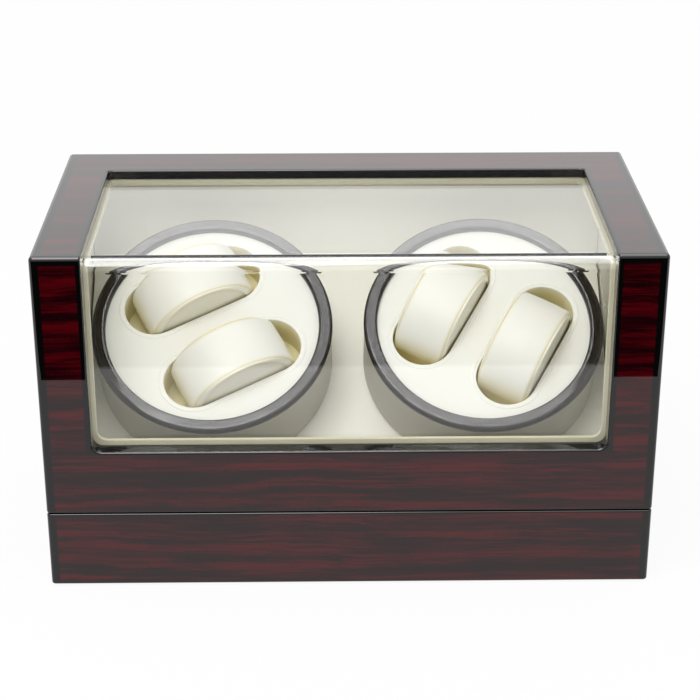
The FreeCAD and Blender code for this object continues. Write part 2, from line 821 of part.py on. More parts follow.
def gear_face_outline(teeth, phase):
    """A spur gear's outline: involute flanks as arcs, with tip and root arcs between them."""
    module = s.gear_module.value
    pitch_radius = module * teeth / 2
    base_radius = pitch_radius * math.cos(math.radians(pressure_angle))
    tip_radius = pitch_radius + module
    root_radius = pitch_radius - 1.25 * module

    def roll(radius):
        angle = math.acos(min(1.0, base_radius / radius))
        return math.tan(angle) - angle

    half_tooth = (math.pi * module / 2 - s.backlash.value) / 2 / pitch_radius

    def flank(radius, hand, centre):
        reach = max(radius, base_radius)
        turn = centre + hand * (half_tooth + roll(pitch_radius) - roll(reach))
        return Vector(radius * math.cos(turn), radius * math.sin(turn), 0)

    def at(radius, turn):
        return Vector(radius * math.cos(turn), radius * math.sin(turn), 0)

    pitch = 2 * math.pi / teeth
    middle = (root_radius + tip_radius) / 2
    edges = []
    for tooth in range(int(teeth)):
        centre = phase + tooth * pitch
        rise = [flank(radius, -1, centre) for radius in (root_radius, middle, tip_radius)]
        fall = [flank(radius, 1, centre) for radius in (tip_radius, middle, root_radius)]
        following = flank(root_radius, -1, centre + pitch)
        edges.append(Part.Arc(*rise).toShape())
        edges.append(Part.Arc(rise[-1], at(tip_radius, centre), fall[0]).toShape())
        edges.append(Part.Arc(*fall).toShape())
        edges.append(Part.Arc(fall[-1], at(root_radius, centre + pitch / 2), following).toShape())
    return Part.Face(Part.Wire(edges))


def spur_gear(teeth, low, height, phase=0.0):
    item = doc.addObject("Part::Feature", "Gear")
    face = gear_face_outline(teeth.value, phase)
    face.translate(Vector(0, 0, low.value))
    item.Shape = face.extrude(Vector(0, 0, height.value))
    return item


def make_drive_gear(side_name, side):
    hub = rod(s.hub_radius, s.gear_gap / 2, (0, 0, gear_top))
    bore = rod(s.spindle_radius + s.seat_fit, s.gear_face + s.gear_gap, (0, 0, gear_low - s.gear_gap / 4))
    gear = cut(joined([spur_gear(s.gear_teeth, gear_low, s.gear_face), hub]), bore)
    node(f"drive_gear_{side_name}", on_table(gear, side))


def motor_x(side):
    """The motor's place along the table's X, on the side of the case's middle."""
    return gear_centres * -side


pinion_overhang = 0.5
shaft_top = gear_top + 3 * pinion_overhang
shaft_end = plate_low - s.gearbox_length / 2


def make_pinion(side_name, side):
    """A pinion on the motor's output shaft, with a tooth space facing the drive gear."""
    half_pitch = math.pi / s.pinion_teeth.value
    height = s.gear_face + 2 * pinion_overhang
    pinion = spur_gear(s.pinion_teeth, gear_low - pinion_overhang, height, half_pitch)
    shaft = rod(s.motor_shaft_radius, shaft_top - shaft_end, (0, 0, shaft_end))
    piece = joined([pinion, shaft])
    frame = table_frame(side)
    piece.Placement = frame.multiply(Placement(Vector(motor_x(side).value, 0, 0), Rotation()))
    node(f"pinion_{side_name}", piece)


motor_cap = 2.0
motor_step = 0.6
boss_short = 0.4
motor_screw_radius = size_of(1.25)
motor_screw_length = 8.0


def motor_screw_spots(side):
    return [(motor_x(side), s.motor_screw_reach * row) for row in (-1, 1)]


def make_motor(side_name, side):
    x = motor_x(side)
    gearbox_end = plate_low - s.gearbox_length
    can_end = gearbox_end - s.motor_length
    can_radius = s.motor_radius - motor_step
    parts = [rod(s.motor_radius, s.gearbox_length, (x, 0, gearbox_end)),
             rod(can_radius, s.motor_length, (x, 0, can_end)),
             rod(s.motor_boss, s.plate_thickness - boss_short, (x, 0, plate_low)),
             rod(can_radius / 2, motor_cap, (x, 0, can_end - motor_cap))]
    bore = rod(s.motor_shaft_radius + s.running_fit, plate_top - shaft_end + past,
               (x, 0, shaft_end - past / 2))
    hole_low = plate_top - motor_screw_length - s.clearance
    holes = [rod(motor_screw_radius + s.running_fit, motor_screw_length, (x, y, hole_low))
             for x, y in motor_screw_spots(side)]
    node(f"motor_{side_name}", on_table(cut(joined(parts), bore, *holes), side))


def standoff_spots(side):
    """Four posts round the gear and the pinion, as places on the table's X and Y."""
    outer_x = (s.gear_module * s.gear_teeth / 2 + s.post_inset) * side
    inner_x = (gear_centres + s.motor_radius + s.plate_margin + s.gear_module) * -side
    return [(x, s.standoff_reach * row) for x in (outer_x, inner_x) for row in (-1, 1)]


def make_bearing_plate(side_name, side):
    spots = standoff_spots(side)
    low_x = min((x for x, y in spots), key=lambda x: x.value) - s.plate_margin
    high_x = max((x for x, y in spots), key=lambda x: x.value) + s.plate_margin
    half = s.standoff_reach + s.plate_margin
    plate = box((low_x, -half, plate_low), (high_x - low_x, 2 * half, s.plate_thickness))
    plate = rounded(plate, s.plate_margin, is_upright)
    height = s.plate_thickness + 2 * past
    low = plate_low - past
    holes = [rod(s.bush_radius + s.seat_fit, height, (0, 0, low)),
             rod(s.motor_boss + s.running_fit, height, (motor_x(side), 0, low))]
    for radius, places in ((motor_screw_radius, motor_screw_spots(side)), (s.screw_radius, spots)):
        holes += [rod(radius + s.running_fit, height, (x, y, low)) for x, y in places]
    node(f"bearing_plate_{side_name}", on_table(cut(plate, *holes), side))


post_bite = 5.0
deck_screw_length = s.deck_thickness + post_bite
plate_screw_length = s.plate_thickness + post_bite


def pan_head(radius, length, at, axis):
    """A pan-headed screw, with the underside of its head at the given point."""
    head = rod(radius * 1.9, radius * 1.2, (0, 0, radius * -1.2))
    shank = rod(radius, length, (0, 0, 0))
    screw = joined([head, shank])
    screw.Placement = Placement(Vector(), along[axis])
    return place(screw, at)


def make_bush(top, depth, side):
    """A flanged bush let into a plate from above, standing proud below it."""
    bore = s.spindle_radius + s.running_fit
    low = top - depth - s.bush_flange
    flange = s.bush_radius + s.bush_flange_width
    bush = turned([(bore, low), (s.bush_radius, low), (s.bush_radius, top), (flange, top),
                   (flange, top + s.bush_flange), (bore, top + s.bush_flange)])
    return on_table(bush, side)


def make_standoffs(side):
    length = deck_low - plate_top
    bore = s.screw_radius + s.running_fit
    return [on_table(cut(rod(s.standoff_radius, length, (x, y, plate_top)),
                         rod(bore, length + 2 * past, (x, y, plate_top - past))), side)
            for x, y in standoff_spots(side)]


def make_drive_hardware():
    """Posts, bushes and screws of both drives, each kind in one group."""
    groups = {}

    def add(label, pieces):
        groups.setdefault(label, []).extend(pieces)

    for side_name, side in sides:
        spots = standoff_spots(side)
        add("standoffs", make_standoffs(side))
        add("deck_bushes", [make_bush(deck_top, s.deck_thickness, side)])
        add("plate_bushes", [make_bush(plate_top, s.plate_thickness, side)])
        screws = {
            "deck_screws": [countersunk((x, y, deck_top), "-z", deck_screw_length) for x, y in spots],
            "plate_screws": [pan_head(s.screw_radius, plate_screw_length, (x, y, plate_low), "z")
                             for x, y in spots],
            "motor_screws": [pan_head(motor_screw_radius, motor_screw_length, (x, y, plate_top), "-z")
                             for x, y in motor_screw_spots(side)],
        }
        for label, pieces in screws.items():
            add(label, [on_table(grouped(pieces), side)])
    for label, pieces in groups.items():
        node(label, grouped(pieces))


# Deck: a slanted panel on two cheeks and a rear board, all inside the lid's sweep
deck_half = half_width - s.side_wall - s.lining_thickness - s.deck_margin
deck_front = s.base_wall - half_depth + s.deck_margin / 3
deck_rear = half_depth - s.back_wall - s.lining_thickness - s.deck_margin / 2
rear_board_lift = 14.0
slope = tangent(s.table_tilt)
deck_rise = s.deck_thickness / cosine(s.table_tilt)


def deck_height(y):
    """Height of the deck's upper face at a place along Y."""
    foot_y = s.table_y + s.deck_offset * sine(s.table_tilt)
    foot_z = s.table_z - s.deck_offset * cosine(s.table_tilt)
    return foot_z + (y - foot_y) * slope


def make_deck():
    front, rear = deck_front, deck_rear
    panel = padded_outline([(front, deck_height(front)), (front, deck_height(front) - deck_rise),
                            (rear, deck_height(rear) - deck_rise), (rear, deck_height(rear))], 2 * deck_half)
    tools = []
    for side_name, side in sides:
        bush_hole = rod(s.bush_radius + s.seat_fit, s.deck_thickness + 2 * past, (0, 0, deck_low - past))
        screw_holes = [screw_hole((x, y, deck_top), "-z", deck_screw_length) for x, y in standoff_spots(side)]
        tools.append(on_table(grouped([bush_hole] + screw_holes), side))
    node("deck_panel", cut(panel, *tools))

    under_front = deck_height(front) - deck_rise
    rear_board_back = rear - s.deck_margin / 2
    rear_board_front = rear_board_back - s.cheek_thickness
    under_rear = deck_height(rear_board_back) - deck_rise
    cheek = [(front, board_top), (rear_board_back, board_top),
             (rear_board_back, under_rear), (front, under_front)]
    for side_name, side in sides:
        body = padded_outline(cheek, s.cheek_thickness)
        middle = deck_half.value - s.cheek_thickness.value / 2
        body.Placement = Placement(Vector(side * middle, 0, 0), Rotation())
        node(f"cheek_{side_name}", body)
    rear_low = s.control_height + rear_board_lift
    rear_points = [(rear_board_front, rear_low), (rear_board_back, rear_low), (rear_board_back, under_rear),
                   (rear_board_front, deck_height(rear_board_front) - deck_rise)]
    node("rear_board", padded_outline(rear_points, 2 * (deck_half - s.cheek_thickness)))


# Cushions: an arched, crowned band with piped edges over sides that draw in
def cushion_reach(across):
    """Half the cushion's length at one place across its width, clear of the well's round ends."""
    end_radius = s.slot_width.value / 2 - s.cushion_gap.value
    straight = (slot_length.value - s.slot_width.value) / 2
    return min(cushion_length.value / 2, straight + math.sqrt(end_radius ** 2 - across ** 2))


def cushion_section(across, inset, offset):
    """The cushion's long outline at one place across its width: base, ends and a three-arc crown."""
    reach = cushion_reach(across)
    shoulder = -s.cushion_shoulder.value
    rise = s.cushion_crown.value - inset - shoulder
    foot = s.cushion_seat.value - s.well_depth.value
    foot_reach = reach - s.cushion_draw.value
    y = offset + across

    def crown(turn):
        angle = math.radians(turn)
        return Vector(reach * math.sin(angle), y, shoulder + rise * math.cos(angle))

    low_left = Vector(-foot_reach, y, foot)
    low_right = Vector(foot_reach, y, foot)
    arcs = [Part.Arc(crown(turn), crown(turn - 30), crown(turn - 60)).toShape() for turn in (90, 30, -30)]
    foot_line = Part.LineSegment(low_left, low_right).toShape()
    right_end = Part.LineSegment(low_right, crown(90)).toShape()
    left_end = Part.LineSegment(crown(-90), low_left).toShape()
    return Part.Wire([foot_line, right_end] + arcs + [left_end])


def cushion_shape(offset):
    """A ruled loft across the width: a drawn-in side, a piped edge, a seam channel and the crown."""
    half = s.slot_width.value / 2 - s.cushion_gap.value - s.cushion_side.value
    seam = s.cushion_seam.value
    edge = [(-half, seam), (seam * 0.5 - half, seam / 4),
            (seam * 1.5 - half, seam / 2), (seam * 2.5 - half, 0.0)]
    far_edge = [(-across, inset) for across, inset in reversed(edge)]
    stations = edge + [(0.0, -s.cushion_swell.value)] + far_edge
    return Part.makeLoft([cushion_section(across, inset, offset) for across, inset in stations], True, True)


cushion_names = {-1: ("lower", "upper"), 1: ("right", "left")}


def make_cushions(side_name, side):
    for row, place_name in zip((-1, 1), cushion_names[side]):
        item = doc.addObject("Part::Feature", "Cushion")
        item.Shape = cushion_shape(s.slot_offset.value * row)
        node(f"cushion_{side_name}_{place_name}", on_table(item, side, rest_turn[side]))


# Circuit board on spacers over the bottom board, with the connectors that its leads plug into
circuit_thickness = 1.6
circuit_y = -10.0
spacer_radius = 3.0
spacer_inset = 5.0
connector_height = 9.0
connector_depth = 8.0
chips = [  # x, y, width, depth, height
    (-30.0, -4.0, 18.0, 10.0, 3.0),
    (10.0, -8.0, 10.0, 14.0, 4.0),
    (-8.0, -20.0, 8.0, 8.0, 7.0),
]
circuit_low = board_top + s.spacer_height
circuit_top = circuit_low + circuit_thickness
circuit_rear = circuit_y + s.circuit_depth / 2
rear_connectors = (-30.0, -15.0, 0.0, 30.0)
side_connector_y = -2.0


def make_circuit_board():
    board = box((s.circuit_width / -2, circuit_y - s.circuit_depth / 2, circuit_low),
                (s.circuit_width, s.circuit_depth, circuit_thickness))
    blocks = [box((x, circuit_y + y, circuit_top), (width, depth, height))
              for x, y, width, depth, height in chips]
    connector = (connector_depth, connector_depth, connector_height)
    blocks += [box((x - connector_depth / 2, circuit_rear - connector_depth, circuit_top), connector)
               for x in rear_connectors]
    blocks += [box((x, side_connector_y - connector_depth / 2, circuit_top), connector)
               for x in (s.circuit_width / -2, s.circuit_width / 2 - connector_depth)]
    node("circuit_board", joined([board] + blocks))
    reach_x = s.circuit_width / 2 - spacer_inset
    reach_y = s.circuit_depth / 2 - spacer_inset
    spots = [(reach_x * x, circuit_y + reach_y * y, board_top) for x in (-1, 1) for y in (-1, 1)]
    node("board_spacers", grouped([rod(spacer_radius, s.spacer_height, spot) for spot in spots]))


lead_radius = 1.2
lead_bend = 0.45  # share of a straight run that an arc may take
lead_stub = 8.0  # straight run where a lead leaves its piece or enters its connector


def lead(points):
    """A round lead through the points: straight runs joined by arcs as large as the runs allow."""
    points = [Vector(*point) for point in points]
    edges = []
    start = points[0]
    for before, corner, after in zip(points, points[1:], points[2:]):
        way_in = (corner - before).normalize()
        way_out = (after - corner).normalize()
        run = lead_bend * min((corner - before).Length, (after - corner).Length)
        arc_start = corner - way_in * run
        arc_end = corner + way_out * run
        half_turn = way_in.getAngle(way_out) / 2
        radius = run / math.tan(half_turn)
        inward = (way_out - way_in).normalize()
        middle = corner + inward * (radius / math.cos(half_turn) - radius)
        edges.append(Part.LineSegment(start, arc_start).toShape())
        edges.append(Part.Arc(arc_start, middle, arc_end).toShape())
        start = arc_end
    edges.append(Part.LineSegment(start, points[-1]).toShape())
    path = Part.Wire(edges)
    section = Part.Wire(Part.Circle(points[0], points[1] - points[0], lead_radius).toShape())
    tube = path.makePipeShell([section], True, False)
    expected = math.pi * lead_radius ** 2 * path.Length
    if abs(tube.Volume - expected) > 0.02 * expected:
        raise RuntimeError("a lead's volume is not its section times its length")
    return tube


def make_leads():
    """Leads from motors, switches and inlet to the circuit board's connectors."""
    plug = circuit_top.value + connector_height / 2
    rear = circuit_rear.value
    board_side = s.circuit_width.value / 2
    inside = wall_inside.value
    z = s.control_height.value
    motor_end = (plate_low - s.gearbox_length - s.motor_length - motor_cap).value

    def into_rear(x):
        return [(x, rear + lead_stub, plug), (x, rear, plug)]

    routes = []
    for hand in (-1, 1):
        frame = table_frame(hand)
        motor = motor_x(hand).value
        leave = frame.multVec(Vector(motor, 0, motor_end))
        bend = frame.multVec(Vector(motor, 0, motor_end - lead_stub))
        routes.append([leave, bend, (leave.x, bend.y - 2, plug + 4),
                       (leave.x - 6 * hand, rear + 26, plug - 3)]
                      + into_rear(rear_connectors[-1] * hand))
        x = mode_switch_x(hand).value
        y = inside - switch_depth
        side_plug = (board_side * hand, side_connector_y, plug)
        routes.append([(x, y, z), (x, y - lead_stub, z), (x - 6 * hand, y - 26, plug - 2),
                       (x - 17 * hand, rear + 2, plug - 3),
                       ((board_side + lead_stub) * hand, side_connector_y, plug), side_plug])
    y = half_depth.value - 2 * s.base_wall.value
    routes.append([(0, y, z), (0, y - lead_stub, z), (-2, y - 26, plug - 2)] + into_rear(rear_connectors[2]))
    x = s.switch_x.value
    y = inside - switch_tail
    routes.append([(x, y, z), (x, y - lead_stub, z), (x + 12, y - 20, z - 3), (x + 23, y - 40, plug - 2)]
                  + into_rear(rear_connectors[1]))
    item = doc.addObject("Part::Feature", "Leads")
    item.Shape = Part.makeCompound([lead(points) for points in routes])
    node("leads", item)


make_base()
make_lid()
make_pane()
make_linings()
make_hinges()
make_deck()
make_drive_hardware()
make_circuit_board()
make_leads()
make_dc_jack()
make_power_switch()
make_power_rocker()
for side_name, side in sides:
    make_ring(side_name, side)
    make_drum(side_name, side)
    make_face_disc(side_name, side)
    make_wells(side_name, side)
    make_spindle(side_name, side)
    make_drive_gear(side_name, side)
    make_pinion(side_name, side)
    make_motor(side_name, side)
    make_bearing_plate(side_name, side)
    make_cushions(side_name, side)
    make_mode_switch(side_name, side)
    make_mode_knob(side_name, side)

doc.recompute()
for item in doc.Objects:
    if "Invalid" in item.State or "Error" in item.State:
        raise RuntimeError(f"{item.Name} ({item.Label}) did not compute")
for item in nodes:
    if item.Shape.isNull() or not item.Shape.isValid() or not item.Shape.Solids:
        raise RuntimeError(f"{item.Label} has no valid solid")

os.makedirs("parts", exist_ok=True)
for item in nodes:
    item.Shape.exportStep(os.path.join("parts", f"{item.Label}.step"))
print(len(nodes), "pieces written")
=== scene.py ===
import json
import bpy
import numpy as np
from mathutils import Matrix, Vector


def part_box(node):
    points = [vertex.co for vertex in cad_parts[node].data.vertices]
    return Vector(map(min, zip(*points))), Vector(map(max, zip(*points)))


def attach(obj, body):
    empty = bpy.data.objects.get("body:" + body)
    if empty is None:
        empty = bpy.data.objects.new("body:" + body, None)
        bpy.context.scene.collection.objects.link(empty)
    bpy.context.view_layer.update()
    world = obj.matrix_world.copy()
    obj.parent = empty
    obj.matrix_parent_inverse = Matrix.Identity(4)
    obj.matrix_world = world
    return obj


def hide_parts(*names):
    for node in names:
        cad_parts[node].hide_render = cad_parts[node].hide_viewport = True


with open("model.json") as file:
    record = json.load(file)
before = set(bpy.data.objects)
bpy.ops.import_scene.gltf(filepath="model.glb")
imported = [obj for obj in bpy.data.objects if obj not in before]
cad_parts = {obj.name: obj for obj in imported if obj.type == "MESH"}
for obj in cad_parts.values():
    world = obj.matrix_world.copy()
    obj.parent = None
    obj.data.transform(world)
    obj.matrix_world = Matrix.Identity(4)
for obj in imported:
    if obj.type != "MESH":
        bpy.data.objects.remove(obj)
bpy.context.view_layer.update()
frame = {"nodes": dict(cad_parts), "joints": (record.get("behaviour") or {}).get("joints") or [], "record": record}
nodes = frame["nodes"]
scene = bpy.context.scene
scene.view_settings.view_transform = "Standard"


# node helpers

def newMaterial(name):
    # a new material with its tree and its Principled shader
    material = bpy.data.materials.new(name)
    material.use_nodes = True
    tree = material.node_tree
    return material, tree, tree.nodes["Principled BSDF"]


def put(tree, kind, **values):
    # a new node with its properties set by name
    node = tree.nodes.new(kind)
    for key, value in values.items():
        setattr(node, key, value)
    return node


def feed(tree, socket, value):
    # a socket is linked, anything else becomes the constant
    if isinstance(value, bpy.types.NodeSocket):
        tree.links.new(value, socket)
    else:
        socket.default_value = value


def calc(tree, operation, first, second=0.0, third=None):
    # one Math node; MULTIPLY_ADD is first times second plus third
    node = put(tree, "ShaderNodeMath", operation=operation)
    feed(tree, node.inputs[0], first)
    feed(tree, node.inputs[1], second)
    if third is not None:
        feed(tree, node.inputs[2], third)
    return node.outputs[0]


def over(tree, value, edge, soft):
    # 0 below the edge, 1 above it, with a smooth step from edge - soft to edge + soft
    node = put(tree, "ShaderNodeMapRange", interpolation_type="SMOOTHSTEP")
    feed(tree, node.inputs["Value"], value)
    node.inputs["From Min"].default_value = edge - soft
    node.inputs["From Max"].default_value = edge + soft
    return node.outputs["Result"]


def blendColor(tree, factor, first, second):
    # first at factor 0, second at factor 1; a Mix node's colours are sockets 6 and 7
    node = put(tree, "ShaderNodeMix", data_type="RGBA")
    feed(tree, node.inputs[0], factor)
    feed(tree, node.inputs[6], first)
    feed(tree, node.inputs[7], second)
    return node.outputs[2]


def blendFloat(tree, factor, first, second):
    # the same for numbers, which are sockets 2 and 3
    node = put(tree, "ShaderNodeMix", data_type="FLOAT")
    feed(tree, node.inputs[0], factor)
    feed(tree, node.inputs[2], first)
    feed(tree, node.inputs[3], second)
    return node.outputs[0]


def noise(tree, vector, scale, detail, roughness=0.55, stretch=(1, 1, 1), shift=(0, 0, 0)):
    # noise of the vector times stretch plus shift
    mapping = put(tree, "ShaderNodeMapping")
    feed(tree, mapping.inputs["Vector"], vector)
    mapping.inputs["Scale"].default_value = stretch
    mapping.inputs["Location"].default_value = shift
    node = put(tree, "ShaderNodeTexNoise")
    feed(tree, node.inputs["Vector"], mapping.outputs[0])
    node.inputs["Scale"].default_value = scale
    node.inputs["Detail"].default_value = detail
    node.inputs["Roughness"].default_value = roughness
    return node.outputs["Fac"]


def objectCoords(tree):
    # places in the object's own frame, in metres
    return put(tree, "ShaderNodeTexCoord").outputs["Object"]


def bump(tree, shader, height, strength, distance):
    # a height field turned into the shader's normal
    node = put(tree, "ShaderNodeBump")
    node.inputs["Strength"].default_value = strength
    node.inputs["Distance"].default_value = distance
    feed(tree, node.inputs["Height"], height)
    tree.links.new(node.outputs["Normal"], shader.inputs["Normal"])


def newGroup(name, inputs, outputs):
    # an empty node group with its sockets, and the nodes that stand for its two ends
    group = bpy.data.node_groups.new(name, "ShaderNodeTree")
    for label, kind, value in inputs:
        socket = group.interface.new_socket(label, in_out="INPUT", socket_type=kind)
        if value is not None:
            socket.default_value = value
    for label, kind in outputs:
        group.interface.new_socket(label, in_out="OUTPUT", socket_type=kind)
    return group, put(group, "NodeGroupInput").outputs, put(group, "NodeGroupOutput").inputs


def useGroup(tree, group, **values):
    # a group's node with its inputs fed by name
    node = put(tree, "ShaderNodeGroup", node_tree=group)
    for key, value in values.items():
        feed(tree, node.inputs[key], value)
    return node.outputs


# shared effects

pebble = {"cellScale": 900.0, "patchScale": 28.0, "patchDetail": 5.0, "patchShare": 0.6}
grainLines = {
    "wanderScale": 9.0, "wanderDetail": 3.0, "wanderReach": (0.0, 0.010, 0.010),
    "broadStretch": (6.0, 130.0, 130.0), "broadDetail": 4.0, "broadShare": 0.72,
    "fineStretch": (22.0, 520.0, 520.0), "fineShift": (3.1, 7.7, 1.3), "fineDetail": 3.0, "fineShare": 0.42,
    "roughness": 0.6, "edge": 0.60, "soft": 0.12,
}


def makeFineGrain():
    # leather-like pebbles: cell distance of a fine Voronoi plus a share of slow noise
    group, given, result = newGroup(
        "fineGrain",
        [("Vector", "NodeSocketVector", None), ("Scale", "NodeSocketFloat", pebble["cellScale"])],
        [("Height", "NodeSocketFloat"), ("Tone", "NodeSocketFloat")])
    cells = put(group, "ShaderNodeTexVoronoi", feature="SMOOTH_F1")
    feed(group, cells.inputs["Vector"], given["Vector"])
    feed(group, cells.inputs["Scale"], given["Scale"])
    patches = noise(group, given["Vector"], pebble["patchScale"], pebble["patchDetail"])
    height = calc(group, "MULTIPLY_ADD", patches, pebble["patchShare"], cells.outputs["Distance"])
    feed(group, result["Height"], height)
    feed(group, result["Tone"], patches)
    return group


def makeStreaks():
    # long streaks along X: noise squeezed across the grain, a broad and a fine layer added, then a soft step
    group, given, result = newGroup(
        "streaks", [("Vector", "NodeSocketVector", None)], [("Streak", "NodeSocketFloat")])
    wander = noise(group, given["Vector"], grainLines["wanderScale"], grainLines["wanderDetail"])
    spread = put(group, "ShaderNodeCombineXYZ")
    feed(group, spread.inputs["Y"], wander)
    feed(group, spread.inputs["Z"], wander)
    lean = put(group, "ShaderNodeVectorMath", operation="MULTIPLY_ADD")
    feed(group, lean.inputs[0], spread.outputs[0])
    lean.inputs[1].default_value = grainLines["wanderReach"]
    feed(group, lean.inputs[2], given["Vector"])
    broad = noise(group, lean.outputs[0], 1.0, grainLines["broadDetail"], grainLines["roughness"],
                  grainLines["broadStretch"])
    fine = noise(group, lean.outputs[0], 1.0, grainLines["fineDetail"], grainLines["roughness"],
                 grainLines["fineStretch"], grainLines["fineShift"])
    weighed = calc(group, "MULTIPLY", broad, grainLines["broadShare"])
    both = calc(group, "MULTIPLY_ADD", fine, grainLines["fineShare"], weighed)
    feed(group, result["Streak"], over(group, both, grainLines["edge"], grainLines["soft"]))
    return group


fineGrain = makeFineGrain()
streaks = makeStreaks()
print("shared effects made")

# lacquered wood: red streaks on black, black painted borders, clear gloss over all

lacquer = {
    "red": (0.068, 0.0008, 0.0028, 1), "dark": (0.0082, 0.0007, 0.0017, 1),
    "border": (0.0020, 0.0020, 0.0023, 1),
    "edge": 0.0052, "topEdge": 0.0060, "openingEdge": 0.0030, "soft": 0.0004,
    "openingHalf": 0.1425, "openingBack": 0.0556, "belowSill": 0.0834,
    "faceEdge": 0.93, "faceSoft": 0.03, "sideShift": 0.05,
    "hazeScale": 40.0, "hazeDetail": 3.0, "roughLow": 0.08, "roughSpread": 0.08,
    "specular": 0.02, "specularTint": (1.0, 0.04, 0.08, 1), "coatRough": 0.015, "coatIor": 1.5,
}
lacquered = {
    "lidLacquer": {"node": "lid_shell", "borderAbove": 0.0048, "borderBelow": 0.0009, "opening": True},
    "baseLacquer": {"node": "base_case", "borderAbove": 0.0011, "borderBelow": 0.0002, "opening": False},
}


def makeLacquer(name):
    # each face keeps its grain inside a painted border, and rounded edges stay black
    values = lacquered[name]
    low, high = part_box(values["node"])
    halfX, halfY = high[0], high[1]
    edge, topEdge, soft = lacquer["edge"], lacquer["topEdge"], lacquer["soft"]
    material, tree, shader = newMaterial(name)
    coords = put(tree, "ShaderNodeTexCoord")
    place = put(tree, "ShaderNodeSeparateXYZ")
    tree.links.new(coords.outputs["Object"], place.inputs[0])
    facing = put(tree, "ShaderNodeSeparateXYZ")
    tree.links.new(coords.outputs["Normal"], facing.inputs[0])
    x, y, z = place.outputs
    faceX, faceY, faceZ = facing.outputs
    reachX, reachY = calc(tree, "ABSOLUTE", x), calc(tree, "ABSOLUTE", y)

    def within(value, limit):
        # 1 below the limit, 0 above it
        return over(tree, calc(tree, "MULTIPLY", value, -1.0), -limit, soft)

    def allOf(*masks):
        # product of the masks
        total = masks[0]
        for mask in masks[1:]:
            total = calc(tree, "MULTIPLY", total, mask)
        return total

    def turnedTo(value):
        # 1 where the face looks along this direction, 0 on its rounded edges
        return over(tree, value, lacquer["faceEdge"], lacquer["faceSoft"])

    underTop = within(z, high[2] - values["borderAbove"])
    upright = allOf(underTop, over(tree, z, low[2] + values["borderBelow"], soft))
    rear = allOf(within(reachX, halfX - edge), upright)
    front = rear
    flank = allOf(within(reachY, halfY - edge), upright)
    crown = allOf(within(reachX, halfX - topEdge), within(reachY, halfY - topEdge))
    if values["opening"]:
        rim = lacquer["openingEdge"]
        besideX = over(tree, reachX, lacquer["openingHalf"] + rim, soft)
        behind = over(tree, y, lacquer["openingBack"] + rim, soft)
        front = allOf(front, calc(tree, "MAXIMUM", besideX, within(z, lacquer["belowSill"])))
        crown = allOf(crown, calc(tree, "MAXIMUM", besideX, behind))
    toSide = turnedTo(calc(tree, "ABSOLUTE", faceX))
    toFront = turnedTo(calc(tree, "MULTIPLY", faceY, -1.0))
    grained = allOf(toSide, flank)
    for toward, mask in ((toFront, front), (turnedTo(faceY), rear), (turnedTo(faceZ), crown)):
        grained = calc(tree, "ADD", grained, allOf(toward, mask))

    alongX = useGroup(tree, streaks, Vector=coords.outputs["Object"])
    turned = put(tree, "ShaderNodeCombineXYZ")  # on the sides the grain runs along Y
    for socket, value in zip(turned.inputs, (y, calc(tree, "MULTIPLY", x, lacquer["sideShift"]), z)):
        tree.links.new(value, socket)
    alongY = useGroup(tree, streaks, Vector=turned.outputs[0])
    streak = blendFloat(tree, toSide, alongX["Streak"], alongY["Streak"])
    wood = blendColor(tree, streak, lacquer["dark"], lacquer["red"])
    feed(tree, shader.inputs["Base Color"], blendColor(tree, grained, lacquer["border"], wood))
    haze = noise(tree, coords.outputs["Object"], lacquer["hazeScale"], lacquer["hazeDetail"])
    rough = calc(tree, "MULTIPLY_ADD", haze, lacquer["roughSpread"], lacquer["roughLow"])
    feed(tree, shader.inputs["Roughness"], rough)
    shader.inputs["Specular IOR Level"].default_value = lacquer["specular"]
    shader.inputs["Specular Tint"].default_value = lacquer["specularTint"]
    shader.inputs["Coat Weight"].default_value = 1.0
    shader.inputs["Coat Roughness"].default_value = lacquer["coatRough"]
    shader.inputs["Coat IOR"].default_value = lacquer["coatIor"]
    return material


# clear window sheet

windowSheet = {
    "ior": 1.49, "tint": (0.985, 0.99, 0.985, 1),
    "smearScale": 12.0, "smearDetail": 4.0, "smearEdge": 3.0, "smearSoft": 2.3,
}


def makeWindow():
    # clear acrylic: refracts and reflects for the eye, and lets light through to the inside
    material, tree, shader = newMaterial("clearWindow")
    shader.inputs["Base Color"].default_value = windowSheet["tint"]
    shader.inputs["Transmission Weight"].default_value = 1.0
    shader.inputs["IOR"].default_value = windowSheet["ior"]
    smear = noise(tree, objectCoords(tree), windowSheet["smearScale"], windowSheet["smearDetail"])
    rough = over(tree, smear, windowSheet["smearEdge"], windowSheet["smearSoft"])
    feed(tree, shader.inputs["Roughness"], rough)
    passing = put(tree, "ShaderNodeBsdfTransparent")
    passing.inputs[0].default_value = windowSheet["tint"]
    path = put(tree, "ShaderNodeLightPath")
    either = calc(tree, "MAXIMUM", path.outputs["Is Shadow Ray"], path.outputs["Is Diffuse Ray"])
    mix = put(tree, "ShaderNodeMixShader")
    tree.links.new(either, mix.inputs[0])
    tree.links.new(shader.outputs[0], mix.inputs[1])
    tree.links.new(passing.outputs[0], mix.inputs[2])
    tree.links.new(mix.outputs[0], tree.nodes["Material Output"].inputs["Surface"])
    return material


# cream covers, linings and plastics

